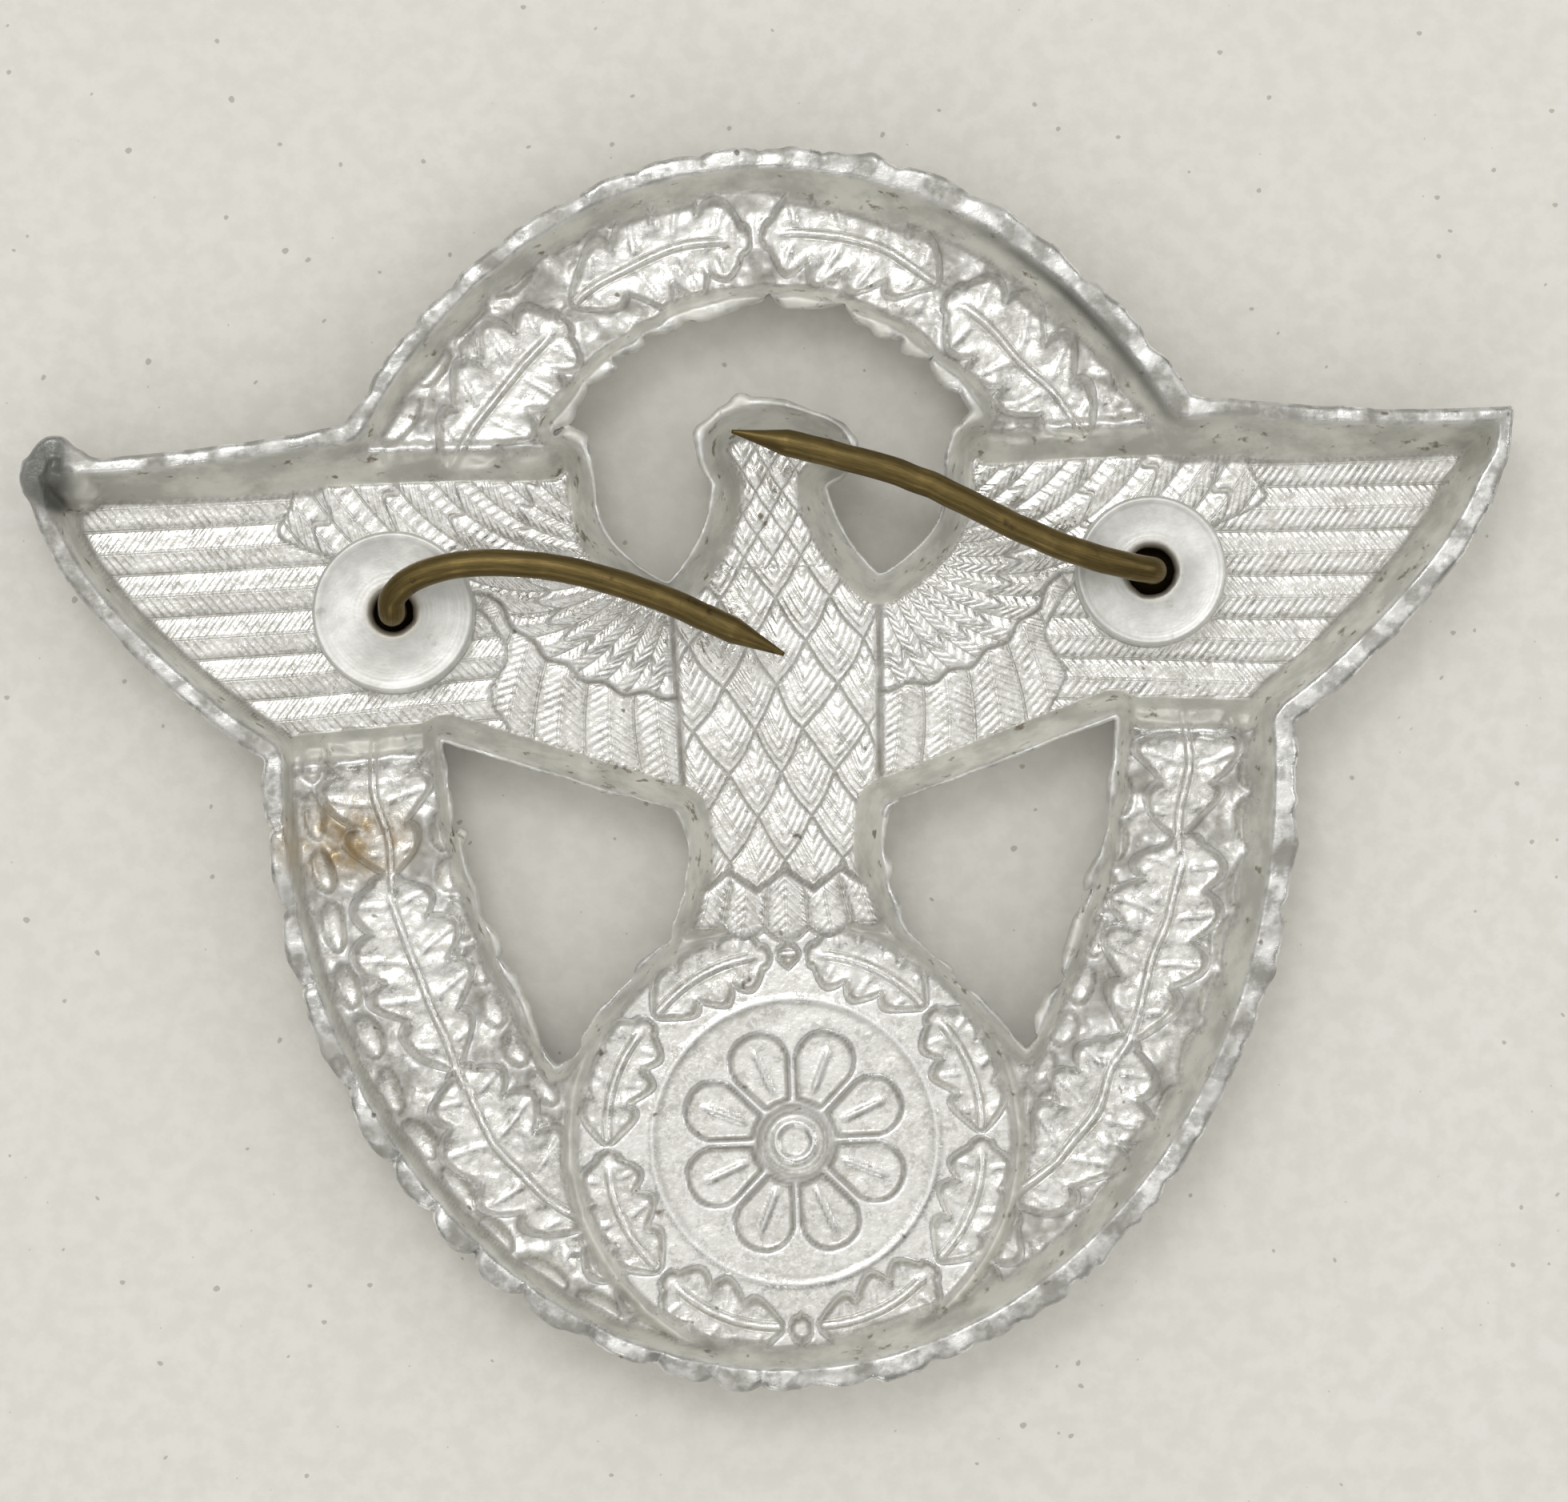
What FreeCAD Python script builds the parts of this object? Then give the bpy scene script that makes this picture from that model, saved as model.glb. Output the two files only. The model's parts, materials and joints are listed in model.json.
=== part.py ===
import FreeCAD, Part
import math
import os

# A struck metal cap badge that lies face down, so its hollow back is up. Millimetres.
# z = 0 is the front-most relief, +Z points out of the back, +Y points to the badge's top,
# and the origin is the middle of the oval wreath. Left and right are as seen from the back.

Vector = FreeCAD.Vector
UP = Vector(0, 0, 1)

# The oval wreath and the levels of the pressed sheet.
OVAL_HALF_WIDTH = 22.8
OVAL_HALF_HEIGHT = 27.4
OPENING_HALF_WIDTH = 13.9
OPENING_HALF_HEIGHT = 20.6
RIM_PLANE = 4.0
SHEET = 0.85
BIRD_FRONT = 0.0
MEDALLION_FRONT = 0.6
WREATH_FRONT = 0.9
RIM_WALL = 1.3

# The round medallion between the wreath's two branches.
MEDALLION_CENTRE_Y = -16.6
MEDALLION_RADIUS = 10.4
ROSETTE_PETALS = 8
ROSETTE_RADIUS = 5.2
PETAL_RADIUS = 1.3
ROSETTE_HEIGHT = 0.3

# The two turned pads that hold the wires.
LEFT_PAD = {"x": -16.95, "y": 7.55, "diameter": 7.2, "bore": 1.75}
RIGHT_PAD = {"x": 16.75, "y": 8.15, "diameter": 6.7, "bore": 2.1}
PAD_THICKNESS = 1.5
PAD_EDGE = 0.3
COUNTERBORE_DEPTH = 0.6
COUNTERBORE_GAP = 0.05

# The wire prongs.
WIRE_DIAMETER = 1.2
WIRE_HEAD_DIAMETER = 2.6
WIRE_TIP_LENGTH = 2.4
WIRE_TIP_DIAMETER = 0.25
PIVOT_ABOVE_PAD = 0.75
ROOT_GAP = 0.03
RIM_CLEARANCE = 0.15

BIRD_FLOOR = BIRD_FRONT + SHEET
MEDALLION_FLOOR = MEDALLION_FRONT + SHEET
WREATH_FLOOR = WREATH_FRONT + SHEET
PAD_TOP = BIRD_FLOOR + PAD_THICKNESS
PIVOT_HEIGHT = PAD_TOP + PIVOT_ABOVE_PAD
WIRE_RADIUS = WIRE_DIAMETER / 2
CROSSING_HEIGHT = RIM_PLANE + WIRE_RADIUS + RIM_CLEARANCE

# Outlines of the badge's right half, as seen from the back.
WING_TOP_EDGE = [(12.0, 16.6), (18.6, 15.8), (24.5, 15.1), (32.9, 14.8)]
WING_TIP_EDGE = [(32.9, 14.8), (32.0, 10.9), (28.3, 5.9), (22.8, 1.2), (16.0, -2.0)]
WING_ROOT_EDGE = [(9.3, 15.3), (8.0, 14.5), (7.7, 13.0), (7.5, 11.2), (5.8, 9.1), (4.7, 8.4)]
NECK_EDGE = [(4.7, 8.4), (3.3, 10.2), (2.5, 12.4)]
HEAD_BEAK_SIDE = [(2.5, 12.4), (3.8, 13.9), (3.5, 14.9), (1.9, 15.9)]
HEAD_RIGHT_TO_LEFT = HEAD_BEAK_SIDE + [(-1.4, 16.2), (-2.6, 15.6), (-2.6, 12.6)]
WINDOW_CORNERS = {"outer": (14.9, 1.7), "inner": (4.6, -1.9), "waist": (5.3, -7.3), "foot": (10.4, -12.9)}
WINDOW_OUTER_SIDE = [(10.4, -12.9), (12.4, -8.7), (14.2, -3.0), (14.9, 1.7)]
WINDOW_WAIST_SIDE = [(4.6, -1.9), (4.5, -4.6), (5.3, -7.3)]
BIRD_LOWER_EDGE = [(30.0, 1.5), (21.5, 2.3), (14.8, 2.7), (4.4, -1.6), (4.4, -6.4)]
BIRD_UPPER_EDGE = [(5.0, 17.0), (9.5, 13.2), (34.0, 13.5), (36.0, 8.0)]

# Centre lines of the wires' arms in plan, with heights, from beside the pivot to where the
# point starts. The point carries on straight.
LEFT_WIRE = [
    (-16.75, 8.35, PIVOT_HEIGHT + 0.65),
    (-15.5, 9.1, PIVOT_HEIGHT + 1.2),
    (-12.2, 9.5, CROSSING_HEIGHT),
    (-8.6, 8.95, CROSSING_HEIGHT + 0.15),
    (-1.8, 6.1, CROSSING_HEIGHT),
]
RIGHT_WIRE = [
    (15.5, 8.4, PIVOT_HEIGHT + 0.75),
    (13.0, 9.2, PIVOT_HEIGHT + 1.4),
    (10.2, 10.5, CROSSING_HEIGHT + 0.05),
    (7.2, 12.15, CROSSING_HEIGHT + 0.15),
    (3.9, 13.4, CROSSING_HEIGHT + 0.15),
    (0.7, 14.3, CROSSING_HEIGHT + 0.1),
]


def mirrored(points):
    """The same points on the other side of x = 0, in reverse order."""
    return [(-x, y) for x, y in reversed(points)]


def flat(point):
    """A plan point as a vector in the z = 0 plane."""
    return Vector(point[0], point[1], 0)


def curve(points):
    """A smooth edge through plan points."""
    spline = Part.BSplineCurve()
    spline.interpolate([flat(p) for p in points])
    return spline.toShape()


def line(start, end):
    return Part.makeLine(flat(start), flat(end))


def polyline(points):
    return [line(a, b) for a, b in zip(points, points[1:])]


def face(edges):
    return Part.Face(Part.Wire(edges))


def slab(flat_face, bottom, top):
    """The plan face as a solid between two heights."""
    lifted = flat_face.copy()
    lifted.translate(Vector(0, 0, bottom))
    return lifted.extrude(Vector(0, 0, top - bottom))


def ellipse_top_arc(half_width, half_height, corner_x):
    """The upper arc of an upright ellipse, from x = +corner_x over the top to x = -corner_x."""
    corner_y = half_height * math.sqrt(1 - (corner_x / half_width) ** 2)
    ellipse = Part.Ellipse(Vector(0, half_height, 0), Vector(half_width, 0, 0), Vector(0, 0, 0))
    start = ellipse.parameter(Vector(corner_x, corner_y, 0))
    end = ellipse.parameter(Vector(-corner_x, corner_y, 0))
    arc = ellipse.toShape(start, end)
    if arc.valueAt((arc.FirstParameter + arc.LastParameter) / 2).y < 0:
        arc = ellipse.toShape(end, start + 2 * math.pi)
    return arc, (corner_x, corner_y)


def oval_face():
    ellipse = Part.Ellipse(Vector(0, OVAL_HALF_HEIGHT, 0), Vector(OVAL_HALF_WIDTH, 0, 0), Vector(0, 0, 0))
    return face([ellipse.toShape()])


def wing_face():
    inner_side = line(WING_TIP_EDGE[-1], WING_TOP_EDGE[0])
    return face([curve(WING_TOP_EDGE), curve(WING_TIP_EDGE), inner_side])


def head_opening_face():
    """The opening above the shoulders, round the bird's head."""
    arc, corner = ellipse_top_arc(OPENING_HALF_WIDTH, OPENING_HALF_HEIGHT, WING_ROOT_EDGE[0][0])
    root = [corner] + WING_ROOT_EDGE[1:]
    left_corner = (-corner[0], corner[1])
    left_root = mirrored(WING_ROOT_EDGE[1:]) + [left_corner]
    edges = [arc, curve(root), curve(NECK_EDGE)]
    edges += [curve(HEAD_RIGHT_TO_LEFT)]
    edges += [curve([HEAD_RIGHT_TO_LEFT[-1]] + mirrored(NECK_EDGE)[1:]), curve(left_root)]
    return face(Part.sortEdges(edges)[0])


def window_face():
    """The opening between the wing, the body, the medallion and the wreath."""
    corners = WINDOW_CORNERS
    middle_angle = math.atan2(
        (corners["waist"][1] + corners["foot"][1]) / 2 - MEDALLION_CENTRE_Y,
        (corners["waist"][0] + corners["foot"][0]) / 2,
    )
    middle = (
        MEDALLION_RADIUS * math.cos(middle_angle),
        MEDALLION_CENTRE_Y + MEDALLION_RADIUS * math.sin(middle_angle),
    )
    medallion_side = Part.Arc(flat(corners["waist"]), flat(middle), flat(corners["foot"])).toShape()
    wing_side = line(corners["outer"], corners["inner"])
    edges = [wing_side, curve(WINDOW_WAIST_SIDE), medallion_side, curve(WINDOW_OUTER_SIDE)]
    return face(Part.sortEdges(edges)[0])


def plan_face():
    """The badge's outline with its three openings, as a face in the z = 0 plane."""
    wing = slab(wing_face(), -SHEET, 0)
    window = slab(window_face(), -SHEET, 0)
    middle_plane = (Vector(0, 0, 0), Vector(1, 0, 0))
    plate = slab(oval_face(), -SHEET, 0).fuse([wing, wing.mirror(*middle_plane)]).removeSplitter()
    plate = plate.cut([slab(head_opening_face(), -SHEET, 0), window, window.mirror(*middle_plane)])
    return max((f for f in plate.Faces if f.BoundBox.ZMin > -SHEET / 2), key=lambda f: f.Area)


def bird_face():
    """The area of the wings, body and head, which is pressed deeper than the wreath."""
    right = [(0.0, 17.5)] + BIRD_UPPER_EDGE + BIRD_LOWER_EDGE
    outline = right + mirrored(right)
    return face(polyline(outline[:-1] + [outline[0]]))


def grown(flat_face, distance):
    """The face with its outline moved outwards, or inwards where the distance is negative."""
    return flat_face.makeOffset2D(distance).toNurbs().Faces[0]


def medallion_face(radius):
    circle = Part.Circle(Vector(0, MEDALLION_CENTRE_Y, 0), UP, radius)
    return face([circle.toShape()])


def rosette(bottom):
    """The solid of a plain petal rosette in the middle of the medallion."""
    reach = ROSETTE_RADIUS - PETAL_RADIUS
    core = Part.makeCylinder(reach, ROSETTE_HEIGHT, Vector(0, MEDALLION_CENTRE_Y, bottom))
    petals = []
    for number in range(ROSETTE_PETALS):
        angle = 2 * math.pi * (number + 0.5) / ROSETTE_PETALS
        place = Vector(reach * math.cos(angle), MEDALLION_CENTRE_Y + reach * math.sin(angle), bottom)
        petals.append(Part.makeCylinder(PETAL_RADIUS, ROSETTE_HEIGHT, place))
    return core.fuse(petals).removeSplitter()


def badge_shell():
    """The hollow pressed shell: one sheet with a deep bird, a medallion and a wreath."""
    plan = plan_face()
    pocket = grown(plan, -RIM_WALL)
    bird = bird_face()
    bird_pocket = slab(pocket, BIRD_FLOOR, RIM_PLANE).common(slab(bird, BIRD_FLOOR, RIM_PLANE))
    wide_bird = grown(bird, SHEET)
    body = slab(plan, WREATH_FRONT, RIM_PLANE)
    bird_block = slab(plan, BIRD_FRONT, WREATH_FRONT).common(slab(wide_bird, BIRD_FRONT, WREATH_FRONT))
    disc = slab(medallion_face(MEDALLION_RADIUS), MEDALLION_FRONT, WREATH_FRONT)
    body = body.fuse([bird_block, disc, rosette(MEDALLION_FRONT - ROSETTE_HEIGHT)])
    tools = [
        slab(pocket, WREATH_FLOOR, RIM_PLANE),
        bird_pocket,
        slab(medallion_face(MEDALLION_RADIUS - SHEET), MEDALLION_FLOOR, RIM_PLANE),
        rosette(MEDALLION_FLOOR - ROSETTE_HEIGHT),
    ]
    return body.cut(tools).removeSplitter()


def prong_pad(pad):
    """A turned disc with a bore for the wire and a counterbore under it for the wire's head."""
    radius = pad["diameter"] / 2
    place = Vector(pad["x"], pad["y"], BIRD_FLOOR)
    disc = Part.makeCylinder(radius, PAD_THICKNESS, place)
    top_rim = max(disc.Edges, key=lambda edge: (edge.BoundBox.ZMin, edge.BoundBox.XLength))
    disc = disc.makeChamfer(PAD_EDGE, [top_rim])
    bore = Part.makeCylinder(pad["bore"] / 2, PAD_THICKNESS, place)
    counterbore = Part.makeCylinder(WIRE_HEAD_DIAMETER / 2 + COUNTERBORE_GAP, COUNTERBORE_DEPTH, place)
    return disc.cut([bore, counterbore])


def prong_root(pad):
    """The wire's fixed end: a flattened head under the pad and a shank in the bore."""
    head_height = COUNTERBORE_DEPTH - COUNTERBORE_GAP
    place = Vector(pad["x"], pad["y"], BIRD_FLOOR)
    head = Part.makeCylinder(WIRE_HEAD_DIAMETER / 2, head_height, place)
    shank_length = PIVOT_HEIGHT - WIRE_RADIUS - ROOT_GAP - BIRD_FLOOR
    shank = Part.makeCylinder(WIRE_RADIUS, shank_length, place)
    return head.fuse(shank).removeSplitter()


def prong_arm(pad, points):
    """The bent wire with a pointed tip. Its rounded start sits on the pivot."""
    pivot = Vector(pad["x"], pad["y"], PIVOT_HEIGHT)
    centre_line = Part.BSplineCurve()
    centre_line.interpolate([pivot] + [Vector(*p) for p in points])
    start_direction = centre_line.tangent(centre_line.FirstParameter)[0]
    end_direction = centre_line.tangent(centre_line.LastParameter)[0]
    section = Part.Wire([Part.Circle(pivot, start_direction, WIRE_RADIUS).toShape()])
    wire = Part.Wire([centre_line.toShape()]).makePipeShell([section], True, True)
    round_start = Part.makeSphere(WIRE_RADIUS, pivot, start_direction, -90, 0)
    neck = Vector(*points[-1])
    tip = Part.makeCone(WIRE_RADIUS, WIRE_TIP_DIAMETER / 2, WIRE_TIP_LENGTH, neck, end_direction)
    return wire.fuse([round_start, tip])


def main():
    os.makedirs("parts", exist_ok=True)
    nodes = {
        "badge_shell": badge_shell(),
        "left_prong_pad": prong_pad(LEFT_PAD),
        "right_prong_pad": prong_pad(RIGHT_PAD),
        "left_prong_root": prong_root(LEFT_PAD),
        "right_prong_root": prong_root(RIGHT_PAD),
        "left_prong_arm": prong_arm(LEFT_PAD, LEFT_WIRE),
        "right_prong_arm": prong_arm(RIGHT_PAD, RIGHT_WIRE),
    }
    for name, shape in nodes.items():
        shape.exportStep(f"parts/{name}.step")
        box = shape.BoundBox
        size = f"{box.XLength:.2f} x {box.YLength:.2f} x {box.ZLength:.2f} mm"
        print(name, len(shape.Solids), shape.isValid(), size, f"{shape.Volume:.2f} mm3")


main()
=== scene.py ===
# The looks of a struck cap badge that lies face down: relief, pads, wire prongs and materials.

import json
import math
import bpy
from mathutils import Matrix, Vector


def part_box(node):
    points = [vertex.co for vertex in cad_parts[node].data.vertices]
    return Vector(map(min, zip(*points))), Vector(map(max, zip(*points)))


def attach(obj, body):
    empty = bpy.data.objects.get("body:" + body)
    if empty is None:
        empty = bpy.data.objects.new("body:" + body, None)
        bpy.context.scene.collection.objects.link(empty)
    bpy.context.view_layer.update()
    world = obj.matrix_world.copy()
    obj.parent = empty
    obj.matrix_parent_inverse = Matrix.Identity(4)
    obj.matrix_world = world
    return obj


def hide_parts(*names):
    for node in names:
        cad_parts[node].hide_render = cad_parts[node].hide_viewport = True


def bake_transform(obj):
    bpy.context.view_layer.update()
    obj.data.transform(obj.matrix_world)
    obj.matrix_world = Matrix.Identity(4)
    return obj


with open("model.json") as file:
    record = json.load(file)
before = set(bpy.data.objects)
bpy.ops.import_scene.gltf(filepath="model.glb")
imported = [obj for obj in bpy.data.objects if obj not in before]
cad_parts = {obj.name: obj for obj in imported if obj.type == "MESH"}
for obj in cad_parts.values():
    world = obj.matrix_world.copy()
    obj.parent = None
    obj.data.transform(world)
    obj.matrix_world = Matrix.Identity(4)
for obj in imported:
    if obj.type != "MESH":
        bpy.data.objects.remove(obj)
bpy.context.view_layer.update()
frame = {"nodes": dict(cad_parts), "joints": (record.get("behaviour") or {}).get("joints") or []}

from types import SimpleNamespace

import bpy
import numpy as np
from mathutils import Vector

MM = 0.001
TAU = 2 * math.pi

# How fine the relief mesh and the outlines it follows are, in millimetres.
GRID_STEP = 0.12
OUTLINE_STEP = 0.3

# Heights, widths and places of the pressed sheet, in millimetres.
SHEET_DEPTH = 0.7
SHEET_SIDE = 0.45
THINNEST = 0.3
EDGE_ROUNDING = 0.26
OPENING_LIP = 0.12
OPENING_WALL = 1.15
LIP_BELOW_RIM = 0.2
STEP_WALL = 1.35
MEDALLION_GAP = 1.0
OVAL_HALF_WIDTH = 22.8
OVAL_HALF_HEIGHT = 27.4
WREATH_HALF_WIDTH = 17.9
WREATH_HALF_HEIGHT = 23.4
CRUSHED_TIP = (-31.4, 14.0)
CRUSHED_RADIUS = 1.7

# The feathers, in millimetres.
PRIMARY_PITCH = 1.85
SECONDARY_PITCH = 1.7
COVERT_PITCH = 1.2
COVERT_ROW = 3.1
COVERT_CENTRE = (5.0, 10.6)
BARB_PITCH = 0.38
GROOVE = 0.12
WING_TOP = 13.6
WING_ROOT_X = 12.4
BODY_SCALE_WIDTH = 2.5
BODY_SCALE_HEIGHT = 3.9
TAIL_TOP = -4.5
TAIL_BOTTOM = -7.7

# The medallion's rings and rosette, in millimetres.
LEAF_RING = 8.3
LEAF_LENGTH = 6.2
LEAF_HALF_WIDTH = 1.8
BEAD_RING = 6.35
ROSETTE_PETALS = 8

# The value of a leaf's edge and midrib fields off the leaf, and of a line coordinate with no line.
OFF_LEAF = 9.0
NO_LINE = 0.5

# The wires and the pads, in millimetres.
WIRE_RADIUS = 0.6
WIRE_TAPER = 2.9
WIRE_SIDES = 28
PAD_CORNER = 0.2
PAD_DISH = 0.12
PAD_SIDES = 128

rng = np.random.default_rng(7)
NOISE_TABLE = rng.random((256, 256))


# ---- small numeric helpers


def mixed(first, second, share):
    """The first value where share is 0 and the second where it is 1."""
    return first * (1 - share) + second * share


def ramp(value, low, high):
    t = np.clip((value - low) / (high - low), 0, 1)
    return t * t * (3 - 2 * t)


def smooth_max(a, b, width):
    """The larger of two heights, with the corner between them rounded over width."""
    h = np.clip(0.5 + 0.5 * (a - b) / width, 0, 1)
    return b + (a - b) * h + width * h * (1 - h)


def smooth_min(a, b, width):
    return -smooth_max(-a, -b, width)


def bump(value, width):
    """1 at zero, falling to nothing within about two widths."""
    return np.exp(-((value / width) ** 2))


def noise(x, y, size):
    """Smooth value noise from 0 to 1 with cells of the given size."""
    u, v = x / size + 61.7, y / size + 33.1
    i, j = np.floor(u).astype(int), np.floor(v).astype(int)
    fu, fv = ramp(u - i, 0, 1), ramp(v - j, 0, 1)

    def corner(a, b):
        return NOISE_TABLE[(i + a) % 256, (j + b) % 256]

    return mixed(mixed(corner(0, 0), corner(1, 0), fu), mixed(corner(0, 1), corner(1, 1), fu), fv)


def fractal(x, y, size):
    """Noise from 0 to 1 with cells of the given size, a half and a quarter of it."""
    octaves = (noise(x + 17 * k, y - 9 * k, size / 2**k) / 2**k for k in range(3))
    return sum(octaves) / 1.75


def closeness(points, loop, closed=True):
    """For each point, its distance to the loop and the arc length of the nearest place on it."""
    ends = np.roll(loop, -1, 0) if closed else loop[1:]
    starts = loop if closed else loop[:-1]
    along = ends - starts
    length = np.maximum(np.hypot(*along.T), 1e-9)
    before = np.concatenate([[0], np.cumsum(length)[:-1]])
    distance, arc = np.empty((2, len(points)))
    chunk = 8192
    for first in range(0, len(points), chunk):
        part = slice(first, first + chunk)
        block = points[part]
        offset_x = block[:, 0, None] - starts[None, :, 0]
        offset_y = block[:, 1, None] - starts[None, :, 1]
        t = np.clip((offset_x * along[:, 0] + offset_y * along[:, 1]) / length**2, 0, 1)
        square = (offset_x - t * along[:, 0]) ** 2 + (offset_y - t * along[:, 1]) ** 2
        nearest = square.argmin(1)
        rows = np.arange(len(block))
        distance[part] = np.sqrt(square[rows, nearest])
        arc[part] = before[nearest] + t[rows, nearest] * length[nearest]
    return distance, arc


def inside(points, loop):
    """True for the points that a closed loop surrounds."""
    x, y = points.T
    result = np.zeros(len(points), bool)
    for (x0, y0), (x1, y1) in zip(loop, np.roll(loop, -1, 0)):
        if y0 != y1:
            crosses = (y > min(y0, y1)) & (y <= max(y0, y1))
            result ^= crosses & (x < x0 + (y - y0) * (x1 - x0) / (y1 - y0))
    return result


def signed_distance(points, loop):
    """Positive inside the loop."""
    distance, _ = closeness(points, loop)
    return np.where(inside(points, loop), distance, -distance)


def curvature(height, rows, columns):
    """How sharply a gridded surface bends, per mm: positive in hollows, negative on ridges."""
    surface = np.pad(height.reshape(rows, columns), 2, mode="edge")
    around = surface[4:, 2:-2] + surface[:-4, 2:-2] + surface[2:-2, 4:] + surface[2:-2, :-4]
    return ((around - 4 * surface[2:-2, 2:-2]) / (2 * GRID_STEP) ** 2).ravel()


# ---- what the CAD frame says


def node_points(node):
    """The vertices of a CAD node, in mm."""
    return np.array([v.co for v in frame["nodes"][node].data.vertices]) / MM


def node_box(node):
    """The lowest and the highest corner of a CAD node, in mm."""
    return (np.array(corner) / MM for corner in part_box(node))


def flat_levels(node, smallest_area=5):
    """The heights, in mm, of a node's level faces that look up, lowest first, with their triangles."""
    mesh = frame["nodes"][node].data
    mesh.calc_loop_triangles()
    points = node_points(node)
    triangles = np.array([t.vertices for t in mesh.loop_triangles])
    a, b, c = (points[triangles[:, k]] for k in range(3))
    normal = np.cross(b - a, c - a)
    size = np.linalg.norm(normal, axis=1)
    up = (normal[:, 2] > 0.999 * size) & (size > 1e-9)
    heights = np.round(a[:, 2], 2)
    levels = {height: up & (heights == height) for height in np.unique(heights[up])}
    return {
        height: (points, triangles[chosen])
        for height, chosen in levels.items()
        if size[chosen].sum() / 2 > smallest_area
    }


def boundary_loops(points, triangles):
    """The closed outlines of a set of level triangles, with the material on the left of each."""
    keys = [tuple(k) for k in np.round(points[:, :2], 3)]
    directed = set()
    for a, b, c in triangles:
        for start, end in ((a, b), (b, c), (c, a)):
            directed.add((keys[start], keys[end]))
    follow = {a: b for a, b in directed if a != b and (b, a) not in directed}
    loops = []
    while follow:
        start = min(follow)
        loop = [start]
        here = follow.pop(start)
        while here != start and here in follow:
            loop.append(here)
            here = follow.pop(here)
        loops.append(np.array(loop))
    return loops


def loop_area(loop):
    x, y = loop[:, 0], loop[:, 1]
    return 0.5 * np.sum(x * np.roll(y, -1) - np.roll(x, -1) * y)


def resampled(loop):
    """The same closed loop with points about OUTLINE_STEP apart."""
    ends = np.vstack([loop, loop[:1]])
    length = np.concatenate([[0], np.cumsum(np.hypot(*np.diff(ends, axis=0).T))])
    places = np.linspace(0, length[-1], max(8, int(length[-1] / OUTLINE_STEP)), endpoint=False)
    return np.column_stack([np.interp(places, length, ends[:, k]) for k in (0, 1)])


def read_shell():
    """The badge's outlines and levels, in mm, from the CAD shell's level faces."""
    levels = flat_levels("badge_shell")
    heights = sorted(levels)
    bird_level, medallion_level, wreath_level, rim = heights[0], heights[2], heights[-2], heights[-1]
    loops = boundary_loops(*levels[rim])
    outline = max(loops, key=loop_area)
    # The largest of the clockwise loops is the rim's inner side. The others are the three openings.
    holes = sorted((loop for loop in loops if loop_area(loop) < 0), key=loop_area)[1:]
    bird = max(boundary_loops(*levels[bird_level]), key=loop_area)
    disc = max(boundary_loops(*levels[medallion_level]), key=loop_area)
    return SimpleNamespace(
        rim=rim,
        bird_level=bird_level,
        medallion_level=medallion_level,
        wreath_level=wreath_level,
        depth=rim - bird_level,
        outline=resampled(outline),
        holes=[resampled(hole) for hole in holes],
        bird=resampled(bird),
        disc_centre=(disc.min(0) + disc.max(0)) / 2,
        disc_radius=float(np.ptp(disc[:, 0])) / 2,
    )


# ---- relief patterns, in mm


def feather_band(position, along, pitch):
    """Long feathers, one per whole step of position: height and barb phase."""
    share = position % 1
    across = 2 * share - 1
    groove = bump(np.minimum(share, 1 - share) * pitch, GROOVE)
    shaft = bump(across * pitch / 2, GROOVE)
    phase = (along + 0.85 * np.abs(across) * pitch / 2) / BARB_PITCH
    return 0.045 * (1 - across**2) - 0.06 * groove + 0.03 * shaft, phase


def primaries(x, y):
    """The long level feathers of the outer wing, which spread a little towards the tip."""
    spread = 1 + 0.006 * (x - 14)
    position = (WING_TOP - y) / spread / PRIMARY_PITCH + 0.05 * noise(x, y, 4)
    return *feather_band(position, x, PRIMARY_PITCH), position, np.full_like(x, NO_LINE)


def secondaries(x, y):
    """The short feathers under the wing's inner half, which fan out from a point far above the body."""
    fan_x, fan_y, feather_angle = 4.4, 27.8, 0.085
    reach = np.hypot(x - fan_x, fan_y - y)
    angle = np.arctan2(x - fan_x, fan_y - y) + 0.0012 * (y - 4) ** 2
    position = angle / feather_angle
    return *feather_band(position, -reach, SECONDARY_PITCH), position, np.full_like(x, NO_LINE)


def coverts(x, y):
    """The rows of short curved feathers that sweep out from the shoulder."""
    dx, dy = x - COVERT_CENTRE[0], COVERT_CENTRE[1] - y
    radius = np.hypot(dx, dy)
    angle = np.arctan2(dy, np.maximum(dx, 1e-6))
    position = (angle + 0.075 * radius) / 0.17
    height, phase = feather_band(position, radius, COVERT_PITCH)
    tips = (radius + 0.35 * np.cos(TAU * position) + 0.5 * noise(x, y, 3)) / COVERT_ROW
    row_line = bump(np.minimum(tips % 1, 1 - tips % 1) * COVERT_ROW, GROOVE) * ramp(radius, 3.0, 4.5)
    height = height * ramp(radius, 0, 4) + 0.09 * (tips % 1) - 0.06 * row_line + 0.07
    return (height, phase, position, np.where(radius > 3.5, tips, NO_LINE)), radius, angle


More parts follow.
